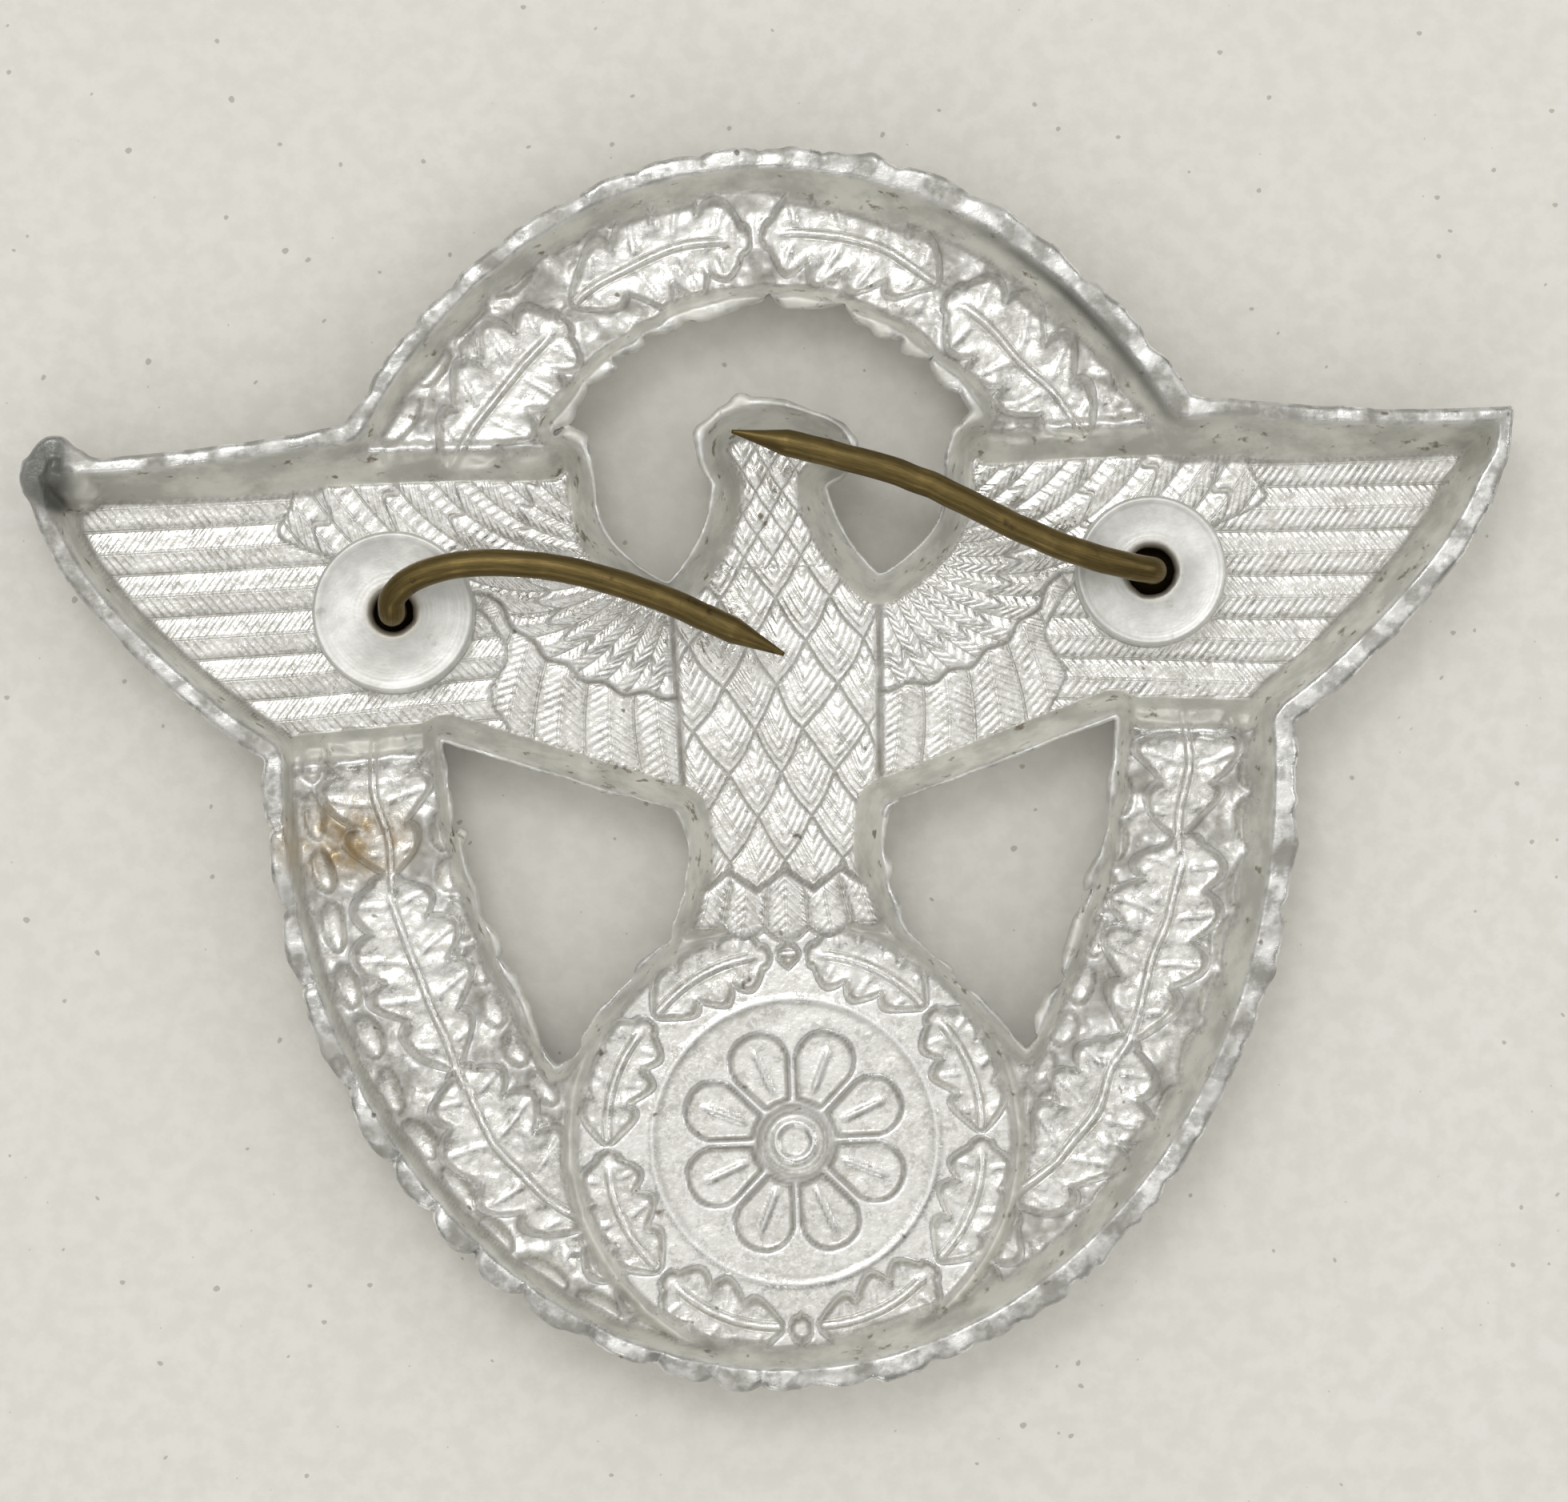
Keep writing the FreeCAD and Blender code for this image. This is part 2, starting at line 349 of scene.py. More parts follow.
def scales(x, y, size=1.0):
    """The pointed scale feathers of the body, in a diamond lattice."""
    width, length = BODY_SCALE_WIDTH * size, BODY_SCALE_HEIGHT * size
    sway = 0.22 * (noise(x, y, 2.6) - 0.5)
    a, b = x / width + sway, (y + 0.35) / length
    straight_row, straight_cross = a + b, b - a
    row = straight_row + 0.05 * np.abs(np.sin(np.pi * straight_cross)) - 0.025
    cross_row = straight_cross + 0.05 * np.abs(np.sin(np.pi * straight_row)) - 0.025
    p, q = row % 1, cross_row % 1
    bowed = 0.06 * np.sin(np.pi * p) * np.sin(np.pi * q)
    edge = np.minimum(np.minimum(p, 1 - p), np.minimum(q, 1 - q)) * width * 0.85
    shaft = bump((p - q) * width / 2, GROOVE) * ramp(p + q, 0.3, 0.6)
    height = 0.14 * (1 - (p + q) / 2) + bowed - 0.035 * bump(edge, GROOVE) + 0.03 * shaft
    return height, np.minimum(p, q) * width / BARB_PITCH, row, cross_row


def bowl(along, across):
    """1 in the middle of a unit disc and 0 outside it, steep at the edge."""
    return np.clip(1 - along**2 - across**2, 0, 1) ** 0.4


def lobed_leaf(u, v, length, half_width, lobes):
    """A lobed leaf: u runs from its stem at 0 to its tip at length, v is across.

    Gives how far each place is pressed in (0 to 1), the raised veins, how far it is inside the
    outline and its offset from the midrib. Off the leaf these two are -OFF_LEAF and OFF_LEAF.
    """
    side = np.abs(v)
    pitch = length / (lobes + 0.3)
    lean = (u - 0.3 * side) / pitch
    widest_past_middle = np.clip(u / length, 0, 1) ** 1.25
    envelope = np.sin(np.pi * widest_past_middle) ** 0.42
    lobe = np.abs(np.sin(np.pi * lean)) ** 0.7
    within = half_width * envelope * (0.6 + 0.4 * lobe) - side
    valley = (1 - lobe) * ramp(side, 0.2 * half_width, 0.75 * half_width)
    pressed = ramp(within, -0.04, 0.34) * (1 - 0.4 * valley)
    side_veins = bump((lean % 1 - 0.5) * pitch, 0.09)
    side_veins = side_veins * ramp(side, 0.3, 0.6) * ramp(within, 0.2, 0.6)
    rib = bump(side, 0.13)
    middle = rib * ramp(u, 0, 0.4) * ramp(u, 0.95 * length, 0.8 * length)
    stem = rib * ramp(u, -1.0, -0.6) * ramp(u, 0.3, 0.0)
    within = np.where((u > 0) & (u < length), within, -OFF_LEAF)
    line = np.where((u > 0) & (u < 0.85 * length) & (within > 0), v, OFF_LEAF)
    return pressed, np.maximum(0.45 * side_veins, middle) * (within > 0) + stem, within, line


def wreath_leaves(n, s):
    """Leaves along the wreath. n is the offset from its midline, s the distance along it from the top."""
    pressed, veins = np.zeros_like(n), np.zeros_like(n)
    within, vein_v = np.full_like(n, -OFF_LEAF), np.full_like(n, OFF_LEAF)
    # Distance along the wreath of each leaf's tip, the leaf's length, half its width and its offset.
    upper = (0.4, 8.4, 2.6, 0.25), (9.3, 9.0, 2.6, 0.0), (27.5, 9.3, 2.6, -0.2)
    lower = (36.6, 9.4, 2.7, 0.1), (45.8, 9.4, 2.7, -0.1), (55.0, 9.4, 2.7, 0.1)
    past_ends = 1.2
    for number, (tip, length, half_width, offset) in enumerate(upper + lower):
        u = tip + length - s
        near = (u > -past_ends) & (u < length + past_ends)
        bend = offset + 0.3 * (-1) ** number * np.sin(np.pi * np.clip(u[near] / length, 0, 1))
        *shape, line = lobed_leaf(u[near], n[near] - bend, length, half_width, 4)
        for field, values in zip((pressed, veins, within), shape):
            field[near] = np.maximum(field[near], values)
        vein_v[near] = np.where(np.abs(line) < OFF_LEAF, line, vein_v[near])
    return pressed, veins, within, vein_v


def acorns(n, s):
    """Small rounded forms beside the leaves, on both sides of the midline."""
    depth = np.zeros_like(n)
    # Offset from the midline, pitch, shift along, half length and half width.
    rows = (
        (2.85, 2.35, 0.4, 1.0, 0.55),
        (-2.85, 2.35, 1.5, 1.0, 0.55),
        (1.75, 9.3, 0.6, 0.8, 0.6),
        (-1.75, 9.3, 0.6, 0.8, 0.6),
        (0.0, 9.3, 9.2, 0.45, 0.45),
    )
    for offset, pitch, shift, half_length, half_width in rows:
        local = (s + shift) % pitch - pitch / 2
        depth = np.maximum(depth, bowl(local / half_length, (n - offset) / half_width))
    return depth


def small_wreath(radius, angle_from_top):
    """The medallion's ring of lobed leaves, whose tips point up on both sides."""
    u = LEAF_LENGTH - (angle_from_top * LEAF_RING - 0.6) % LEAF_LENGTH
    bend = 0.15 * np.sin(np.pi * u / LEAF_LENGTH)
    return lobed_leaf(u, radius - LEAF_RING - bend, LEAF_LENGTH * 0.97, LEAF_HALF_WIDTH, 3)


def rosette_relief(radius, angle):
    """A plain petal rosette round a ringed boss, the same on both sides of the middle."""
    share = (angle / TAU * ROSETTE_PETALS) % 1
    across = np.abs(share - 0.5) * 2
    half_arc = radius * math.pi / ROSETTE_PETALS
    reach = 3.0 + 2.2 * np.clip(1 - across**2.4, 0, 1) ** 0.6
    petal = ramp(reach - radius, 0.0, 0.25) * ramp((1 - across) * half_arc, 0.06, 0.3)
    petal = petal * ramp(radius, 1.75, 2.0)
    crease = bump(across * half_arc, 0.1) * ramp(radius, 2.1, 2.6) * ramp(radius, 4.6, 4.0)
    boss = ramp(radius, 1.5, 1.3) * (1 - 0.6 * bump(radius - 0.85, 0.13))
    outline = 4 * petal * (1 - petal) + 0.4 * crease * petal + bump(radius - 1.62, 0.16)
    return np.maximum(petal * (1 - 0.45 * crease), boss), np.clip(outline, 0, 1)


def tail_relief(x, y):
    """The tail: rows of rounded feathers that spread over the top of the medallion."""
    spread = 1 + 0.1 * (TAIL_TOP - y)
    position = x / spread / 1.55 + 0.5
    across = 2 * (position % 1) - 1
    end = TAIL_BOTTOM + 0.55 * across**2 + 0.035 * x**2
    start = TAIL_TOP - 0.9 * (1 - 2 * np.abs((x / BODY_SCALE_WIDTH) % 1 - 0.5))
    mask = ramp(y, start + 0.08, start - 0.08) * ramp(y, end - 0.06, end + 0.1)
    mask = mask * ramp(5.6 * spread - np.abs(x) * 1.28, -0.05, 0.1)
    line = np.maximum(bump(y - end - 0.1, GROOVE), 1.2 * bump(y - start + 0.1, 0.14))
    groove = np.maximum(bump((1 - np.abs(across)) * 0.78, GROOVE), line)
    height = 0.15 * np.sqrt(np.clip(1 - across**2, 0, 1)) - 0.08 * groove
    phase = (y + 0.9 * np.abs(across)) / BARB_PITCH
    return height, mask, 0.8 * line * mask, phase, position, np.full_like(x, NO_LINE)


# ---- the shell's height field


def shell_plan(shell, points):
    """Distances in mm and zones from 0 to 1 at plan points, which the shell's shape follows."""
    plan = SimpleNamespace(x=points[:, 0], y=points[:, 1])
    plan.outer = signed_distance(points, shell.outline)
    plan.bird = signed_distance(points, shell.bird)
    plan.holes = [-signed_distance(points, hole) for hole in shell.holes]
    disc_x, disc_y = (points - shell.disc_centre).T
    plan.disc_radius = np.hypot(disc_x, disc_y)
    plan.disc_angle = np.arctan2(disc_y, disc_x)
    plan.angle_from_top = np.abs(np.arctan2(disc_x, disc_y))
    plan.disc = shell.disc_radius - plan.disc_radius
    plan.outside_bird = np.maximum(-plan.bird, 0)
    plan.around_disc = np.maximum(-plan.disc, 0)
    plan.right = ramp(plan.x, -12, 12)
    plan.on_wing = ramp(np.abs(plan.x), 18.2, 20.5) * ramp(plan.y, 0.0, 2.0)
    plan.leafy = ramp(-plan.bird, 1.2, 2.2) * (plan.disc < -1.5)
    plan.rough = fractal(plan.x, plan.y, 1.1) - 0.5
    from_tip = np.hypot(plan.x - CRUSHED_TIP[0], plan.y - CRUSHED_TIP[1])
    plan.crushed = CRUSHED_RADIUS - from_tip + 0.5 * plan.rough
    return plan


def rough_outline(plan):
    """The plan field, positive in the metal, and the cusps between its outer edge's lobes."""
    x, y = plan.x, plan.y
    angle = np.arctan2(y / OVAL_HALF_HEIGHT, x / OVAL_HALF_WIDTH)
    lobes = np.abs(np.sin(angle * 24.5 + 5.0 * noise(x, y, 8.0))) ** 0.6
    size = 0.2 + 0.5 * noise(x + 5, y, 5.0)
    lobed = size * (lobes - 0.6) * (1 - 0.4 * ramp(y, 8, 16))
    ragged = 0.3 * (noise(x, y, 0.7) - 0.5) + 0.25 * (noise(x, y, 1.6) - 0.5)
    ragged = ragged * (0.45 + 0.55 * plan.right) * (1 - 0.65 * plan.on_wing)
    plain = (1 - plan.on_wing) * (1 - 0.75 * plan.right * ramp(y, 14, 6))
    field = smooth_max(plan.outer + lobed * plain + ragged, plan.crushed, 0.3)
    along = np.hypot(x, y - 34 * (y > 10))
    crimped = 0.5 * (np.abs(np.sin(1.9 * along + 6 * noise(x, y, 3.0))) ** 0.6 - 0.6)
    torn = 0.42 * (noise(x, y, 0.75) - 0.5) + 0.5 * (noise(x, y, 1.7) - 0.5) + crimped * plan.leafy
    torn = torn * np.clip(ramp(y, 12.5, 15.5) + ramp(-y, -1.0, 2.0), 0.15, 1)
    for hole in plan.holes:
        field = np.minimum(field, hole + torn)
    return field, (1 - lobes) * plain


def wall_sizes(plan):
    """The widths of the rim's flat and of the wall inside it. Both differ from side to side."""
    x, y, right, on_wing = plan.x, plan.y, plan.right, plan.on_wing
    wing_top = ramp(y, 11.5, 13.0)
    ring_wall = 0.75 + 1.05 * right + 0.6 * ramp(y, 10, 20) * (1 - 0.3 * right)
    top_wall = 1.2 + 0.9 * ramp(32 - np.abs(x), 0, 14)
    wall = mixed(ring_wall, mixed(0.6 + 0.6 * right, top_wall, wing_top), on_wing)
    rim = mixed(0.75 + 0.25 * right, mixed(0.85 + 0.15 * right, 0.65, wing_top), on_wing)
    return rim, wall


def wing_relief(x, y):
    """Height, barb phase, two line coordinates and borders of the wing's three sorts of feather."""
    fan, fan_radius, fan_angle = coverts(x, y)
    limit = 7.2 + 0.9 * np.clip(1.25 - fan_angle, 0, 1.2) ** 2 + 0.14 * np.cos(fan_angle * 24)
    tier = fan_radius - limit - 30 * ramp(fan_angle, 0.3, -0.1)
    root_line = WING_ROOT_X + 9.3 * ramp(y, 7, 11.5) + 0.4 * np.cos(y * 1.7)
    on_long = x > root_line
    borders = np.maximum(bump(tier, 0.11) * ~on_long, 0.6 * bump(x - root_line, 0.11))
    return *np.where(on_long, primaries(x, y), np.where(tier < 0, fan, secondaries(x, y))), borders


def bird_relief(x, y, rough):
    """Height, border strength, tail mask, barb phase and two line coordinates of the bird.

    A dark line runs wherever a line coordinate is a whole number.
    """
    side = np.abs(x)
    feather, *lines, borders = wing_relief(side, y)
    scale_height, *scale_lines = scales(x, y)
    head_height, *head_lines = scales(x, y, 0.5)
    in_body = 4.4 + 0.03 * y + 1.6 * ramp(-y, 1.0, 5.5) - side
    body = np.maximum(ramp(in_body, -0.08, 0.08), ramp(y, 8.2, 9.6) * (side < 5))
    head = ramp(y, 8.8, 9.2)
    side_line = bump(in_body, 0.15) * ramp(y, 8.8, 7.4) * ramp(y, -6, -4)
    belly = 0.22 * np.sqrt(np.clip(1 - (side / 4.8) ** 2, 0, 1))
    scale_height = mixed(scale_height, 0.7 * head_height, head)
    feather = mixed(feather - 0.12 * borders, scale_height - belly, body) - 0.16 * side_line
    lines = np.where(body > 0.5, np.where(head > 0.5, head_lines, scale_lines), lines)
    borders = np.maximum(borders * (1 - body), side_line)

    tail_height, tail, tail_border, *tail_lines = tail_relief(x, y)
    feather = mixed(feather, tail_height + 0.05, tail) + 0.05 * rough
    lines = np.where(tail > 0.5, tail_lines, lines)
    return feather, np.maximum(borders * (1 - tail), tail_border), tail, *lines


def medallion_relief(plan):
    """Height above the medallion's floor, where dirt and painted shade gather, and the leaves' outline and
    midrib.
    """
    radius = plan.disc_radius
    pressed, veins, within, vein_v = small_wreath(radius, plan.angle_from_top)
    petals, outline = rosette_relief(radius, plan.disc_angle)
    raised = 0.2 * veins + 0.1 * bump(radius - BEAD_RING, 0.13) + 0.25 * np.abs(plan.rough) * pressed
    height = 0.42 + 0.06 * plan.rough - 0.6 * pressed - 0.36 * petals + raised
    # Dirt and painted shade along the petal outlines, the boss and the bead groove.
    grime_and_shade = np.clip(outline + 0.4 * bump(radius - BEAD_RING + 0.25, 0.15), 0, 1)
    return height, grime_and_shade, within, vein_v


def wreath_relief(plan):
    """Height above the wreath's floor, where dirt and painted shade gather, and the leaves' outline and
    midrib.
    """
    x, y, rough = plan.x, plan.y, plan.rough
    turn = np.linspace(0, math.pi, 160)
    midline = np.column_stack([WREATH_HALF_WIDTH * np.sin(turn), WREATH_HALF_HEIGHT * np.cos(turn)])
    n, s = closeness(np.column_stack([np.abs(x), y]), midline, closed=False)
    outside = (x / WREATH_HALF_WIDTH) ** 2 + (y / WREATH_HALF_HEIGHT) ** 2 > 1
    n = np.where(outside, n, -n) + 0.5 * (noise(x, y, 2.3) - 0.5)
    s = s + 0.6 * (noise(x + 31, y, 2.6) - 0.5) + 0.4 * (x > 0)
    pressed, veins, within, vein_v = wreath_leaves(n, s)
    acorn = acorns(n, s) * (pressed < 0.05)
    bare = 1 - np.maximum(pressed, acorn)
    crumple = 0.3 * np.abs(fractal(x, y, 0.9) - 0.5) * pressed + 0.5 * (fractal(x + 9, y, 0.8) - 0.5) * bare
    height = 0.42 + 0.14 * rough - 0.38 * acorn - 0.62 * pressed + 0.24 * veins + crumple
    gaps = bare * ramp(rough, 0.2, -0.15)
    # Dirt and painted shade along leaf outlines, in the gaps and round the acorns.
    grime_and_shade = 0.3 * bump(within, 0.2) + 0.75 * gaps + 0.45 * bump(acorn - 0.3, 0.3) * (acorn > 0)
    return height, np.clip(grime_and_shade, 0, 1), within, vein_v


def floor_relief(plan, shell):
    """The floors of the bird, medallion and wreath as one surface, with its colour fields."""
    wreath, wreath_grime_and_shade, *wreath_leaf = wreath_relief(plan)
    medallion, medallion_grime_and_shade, *medallion_leaf = medallion_relief(plan)
    feather, borders, tail, *feather_lines = bird_relief(plan.x, plan.y, plan.rough)
    bird_level, wreath_level = shell.bird_level, shell.wreath_level
    step = bird_level + 0.1 + plan.outside_bird * (wreath_level + 0.8 - bird_level) / STEP_WALL
    ridge = 0.3 * bump(plan.outside_bird - STEP_WALL - 0.15, 0.25)
    disc_ridge = 0.25 + 0.6 * bump(plan.around_disc - MEDALLION_GAP * 0.55, 0.36)
    ring = ramp(plan.around_disc, MEDALLION_GAP, 0.2)
    floor = smooth_min(step, wreath_level + mixed(wreath + ridge, disc_ridge, ring), 0.12)
    in_disc = ramp(plan.disc, -0.35, 0.1)
    floor = mixed(floor, shell.medallion_level + medallion, in_disc)
    in_bird = ramp(plan.bird, -0.02, 0.06) * (1 - in_disc)
    in_bird = np.maximum(in_bird, tail * (np.abs(plan.x) < 7))
    floor = mixed(floor, bird_level + 0.12 + feather + 0.35 * tail, in_bird)
    # Dirt and painted shade of the wreath, medallion and bird floors.
    grime_and_shade = mixed(mixed(wreath_grime_and_shade, medallion_grime_and_shade, in_disc), borders, in_bird)
    leaf = np.where(in_bird > 0.5, OFF_LEAF, np.where(in_disc > 0.5, medallion_leaf, wreath_leaf))
    lines = dict(zip(("barb_phase", "row", "cross_row", "leaf_edge", "vein_v"), (*feather_lines, *leaf)))
    return SimpleNamespace(
        floor=floor, in_disc=in_disc, in_bird=in_bird, borders=borders, grime_and_shade=grime_and_shade, lines=lines
    )


def sheet_surface(plan, shell, floor, shift):
    """The sheet's rim, walls and floor. The shift moves the walls towards the sheet's edges."""
    rim = np.full_like(plan.x, shell.rim)
    lip = rim - LIP_BELOW_RIM
    share = np.maximum(plan.outer + shift - plan.rim_width, 0) / plan.wall_width
    wall = rim + 0.1 - shell.depth * share**0.8
    result = smooth_max(smooth_min(rim, wall, 0.22), floor, 0.09)
    crumple = 1.1 * (fractal(plan.x, plan.y, 1.4) - 0.5) * plan.leafy
    for hole in plan.holes:
        wall = lip - shell.depth / OPENING_WALL * (hole + shift - plan.lip_width) + crumple
        result = smooth_max(smooth_min(lip, wall, 0.14), result, 0.09)
    return result


def colour_masks(plan, shell, relief, above, on_rim):
    """The fields that the shell's material reads."""
    off_floor = (1 - relief.in_bird) * (1 - relief.in_disc)
    stepped = off_floor * ramp(STEP_WALL - plan.outside_bird, -0.05, 0.2) * (plan.outside_bird > 0)
    moat = off_floor * ramp(plan.around_disc, MEDALLION_GAP, 0.5)
    wall = np.max([ramp(above, 0.12, 0.35), stepped, moat], 0)
    lips = np.max([bump(hole - 0.05, plan.lip_width + 0.08) for hole in plan.holes], 0)
    worn = 0.1 + 0.7 * ramp(noise(plan.x, plan.y, 0.9), 0.4, 0.75)
    rim_face = np.maximum(on_rim, lips * worn)
    wall = np.clip(wall - rim_face, 0, 1)
    foot_share = (np.maximum(shell.rim + 0.1 - relief.floor, 0) / shell.depth) ** 1.25
    past_rim = plan.outer - plan.rim_width
    # Painted shade along the foot of each wall.
    foot = 0.8 * bump(past_rim - foot_share * plan.wall_width - 0.02, 0.17) * (1 - stepped)
    crushed = ramp(plan.crushed, -0.2, 0.3)
    dark_tip = 0.85 * crushed * ramp(plan.rough - plan.x, 30.5, 31.3)
    # A painted dark reflection on the wall just inside the rim at the top right.
    streak = bump(past_rim - 0.25, 0.26) * bump(plan.x - 14, 4.5)
    return relief.lines | {
        "wall": wall,
        "dark_tip_and_painted_reflection": np.maximum(dark_tip, 0.9 * streak * ramp(plan.y, 8, 12)),
        "rim_face": rim_face * (1 - crushed),
        # Dirt and painted shade along leaf and feather borders, at the walls' feet and on the crushed tip.
        "cavity": np.clip(np.max([relief.grime_and_shade * (1 - wall), foot, 0.3 * crushed], 0), 0, 1),
        "feathers": relief.in_bird * (1 - np.clip(relief.borders, 0, 1)) * (1 - wall),
        "leaves": (1 - wall) * (1 - relief.in_bird),
    }


def shell_fields(shell, points):
    """The shell's plan field, its two surfaces and its colour masks at plan points in mm."""
    plan = shell_plan(shell, points)
    plan.rim_width, plan.wall_width = wall_sizes(plan)
    plan.lip_width = OPENING_LIP + 0.2 * ramp(plan.y, 12, 15)
    field, cusp = rough_outline(plan)
    relief = floor_relief(plan, shell)

    back = sheet_surface(plan, shell, relief.floor, 0.0)
    curled = shell.rim - 0.5 + 1.6 * plan.rough - 1.5 * (0.8 - plan.crushed)
    back = np.where(plan.crushed > 0, smooth_max(back, curled, 0.3), back)
    above = back - relief.floor
    edge = np.clip(EDGE_ROUNDING - np.maximum(field, 0), 0, EDGE_ROUNDING)
    back = back - (EDGE_ROUNDING - np.sqrt(EDGE_ROUNDING**2 - edge**2))
    on_rim = ramp(plan.rim_width - plan.outer, -0.15, 0.12) * ramp(above, 0.4, 0.8)
    beads = (0.08 + 0.4 * (1 - plan.right) * ramp(plan.y, 10, 0)) * cusp**2
    uneven = (0.26 - 0.12 * plan.right) * (1 - 0.6 * plan.on_wing) * plan.rough
    back = back + (uneven - beads) * on_rim + 0.03 * (fractal(plan.x, plan.y, 2.5) - 0.5)
    front = np.maximum(sheet_surface(plan, shell, relief.floor, SHEET_SIDE) - SHEET_DEPTH, 0.0)
    front = np.minimum(front, back - THINNEST)
    return field, back, front, colour_masks(plan, shell, relief, above, on_rim)


# ---- the shell's mesh


def grid_points(low, high):
    xs = np.arange(low[0], high[0] + GRID_STEP, GRID_STEP)
    ys = np.arange(low[1], high[1] + GRID_STEP, GRID_STEP)
    grid_x, grid_y = np.meshgrid(xs, ys)
    return len(xs), len(ys), np.column_stack([grid_x.ravel(), grid_y.ravel()])


def clipped_grid(columns, rows, field):
    """The grid cells inside field > 0, cut along its zero line.

    Gives the polygons, the cut vertices as (node a, node b, share) and the cut line's edges.
    Vertex numbers past columns * rows are cut vertices.
    """
    within = (field > 0).reshape(rows, columns)
    index = np.arange(rows * columns).reshape(rows, columns)
    corners = np.stack([index[:-1, :-1], index[:-1, 1:], index[1:, 1:], index[1:, :-1]], -1)
    count = within[:-1, :-1].astype(int) + within[:-1, 1:] + within[1:, 1:] + within[1:, :-1]
    quads = corners[count == 4]
    numbers, cuts = {}, []

    def cut(*ends):
        a, b = sorted(ends)
        if (a, b) not in numbers:
            share = float(np.clip(field[a] / (field[a] - field[b]), 0.02, 0.98))
            numbers[a, b] = rows * columns + len(cuts)
            cuts.append((a, b, share))
        return numbers[a, b]

    polygons, edges = [], []
    for cell in corners[(count > 0) & (count < 4)]:
        cell = [int(c) for c in cell]
        inner = [bool(field[c] > 0) for c in cell]
        if sum(inner) == 2 and inner[0] == inner[2]:
            for k in range(4):
                if inner[k]:
                    back_cut = cut(cell[k], cell[k - 1])
                    next_cut = cut(cell[k], cell[(k + 1) % 4])
                    polygons.append([back_cut, cell[k], next_cut])
                    edges.append((next_cut, back_cut))
            continue
        polygon, crossing = [], {}
        for k in range(4):
            if inner[k]:
                polygon.append(cell[k])
            if inner[k] != inner[(k + 1) % 4]:
                crossing[inner[k]] = cut(cell[k], cell[(k + 1) % 4])
                polygon.append(crossing[inner[k]])
        edges.append((crossing[True], crossing[False]))
        polygons.append(polygon)
    return quads, polygons, cuts, edges


def add_piece(name, vertices, faces, fields, material):
    """A smooth object from vertices in mm, with the per-vertex fields that its material reads."""
    mesh = bpy.data.meshes.new(name)
    mesh.from_pydata((np.array(vertices) * MM).tolist(), [], faces)
    mesh.polygons.foreach_set("use_smooth", np.ones(len(mesh.polygons), bool))
    for field, values in fields.items():
        layer = mesh.attributes.new(field, "FLOAT", "POINT")
        layer.data.foreach_set("value", values.astype(np.float32))
    mesh.update()
    mesh.materials.append(material)
    piece = bpy.data.objects.new(name, mesh)
    bpy.context.scene.collection.objects.link(piece)
    return piece


def build_shell(shell):
    margin = 1.5
    outline = shell.outline
    columns, rows, points = grid_points(outline.min(0) - margin, outline.max(0) + margin)
    field, back, front, masks = shell_fields(shell, points)
    bend = curvature(back, rows, columns)
    off_wall = 1 - masks["wall"]
    # Painted highlight on convex ridges, from how sharply the back bends.
    masks["ridge"] = ramp(-bend, 0.5, 4.0) * off_wall
    # Painted shade in hollows, from how sharply the back bends.
    masks["cavity"] = np.maximum(masks["cavity"], 0.55 * ramp(bend, 1.5, 8.0) * off_wall)
    quads, polygons, cuts, edges = clipped_grid(columns, rows, field)

    used = np.zeros(len(points) + len(cuts), bool)
    used[quads.ravel()] = True
    for polygon in polygons:
        used[polygon] = True
    number = np.cumsum(used) - 1
    half = int(used.sum())
    first, second, share = (np.array(column) for column in zip(*cuts))

    def at_vertices(values):
        return np.concatenate([values, mixed(values[first], values[second], share)])[used]

    x, y = at_vertices(points[:, 0]), at_vertices(points[:, 1])
    top = np.column_stack([x, y, at_vertices(back)])
    bottom = np.column_stack([x, y, at_vertices(front)])
    back_faces = [tuple(number[corners]) for corners in [*quads, *polygons]]
    front_faces = [tuple(v + half for v in reversed(corners)) for corners in back_faces]
    edge_faces = [(b, a, a + half, b + half) for a, b in number[np.array(edges)].tolist()]
    faces = back_faces + front_faces + edge_faces
    fields = {name: np.tile(at_vertices(values), 2) for name, values in masks.items()}
    material = aluminium_relief()
    piece = add_piece("struck_shell", np.vstack([top, bottom]), faces, fields, material)
    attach(piece, "badge")
    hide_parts("badge_shell")


# ---- pads and wires


def ring_faces(rings, sides, closed):
    """Faces between neighbouring rings of vertices, and from the last to the first of a closed stack."""
    faces = []
    for ring in range(rings if closed else rings - 1):
        here, after = ring * sides, (ring + 1) % rings * sides
        for k in range(sides):
            beside = (k + 1) % sides
            faces.append((here + k, here + beside, after + beside, after + k))
    return faces


def pad_profile(radius, bore, low, high):
    """Radius and height pairs of a turned pad, from its hole's foot over its dished face to its edge."""
    wall_top = low + 0.75 * (high - low)
    profile = [(bore, low), (bore * 1.02, wall_top), (bore + 0.05, high - 0.2), (bore + 0.16, high - 0.1)]
    face = high - 0.02
    for share in np.linspace(0.12, 0.86, 14):
        profile.append((bore + (radius - bore) * share, face - PAD_DISH * math.sin(math.pi * share)))
    for turn in np.linspace(0, math.pi / 2, 7):
        out, up = PAD_CORNER * math.sin(turn), PAD_CORNER * math.cos(turn)
        profile.append((radius - PAD_CORNER + out, face - PAD_CORNER + up))
    foot = radius + 0.12
    return profile + [(radius, low + 0.3), (foot, low + 0.02), (foot, low)]


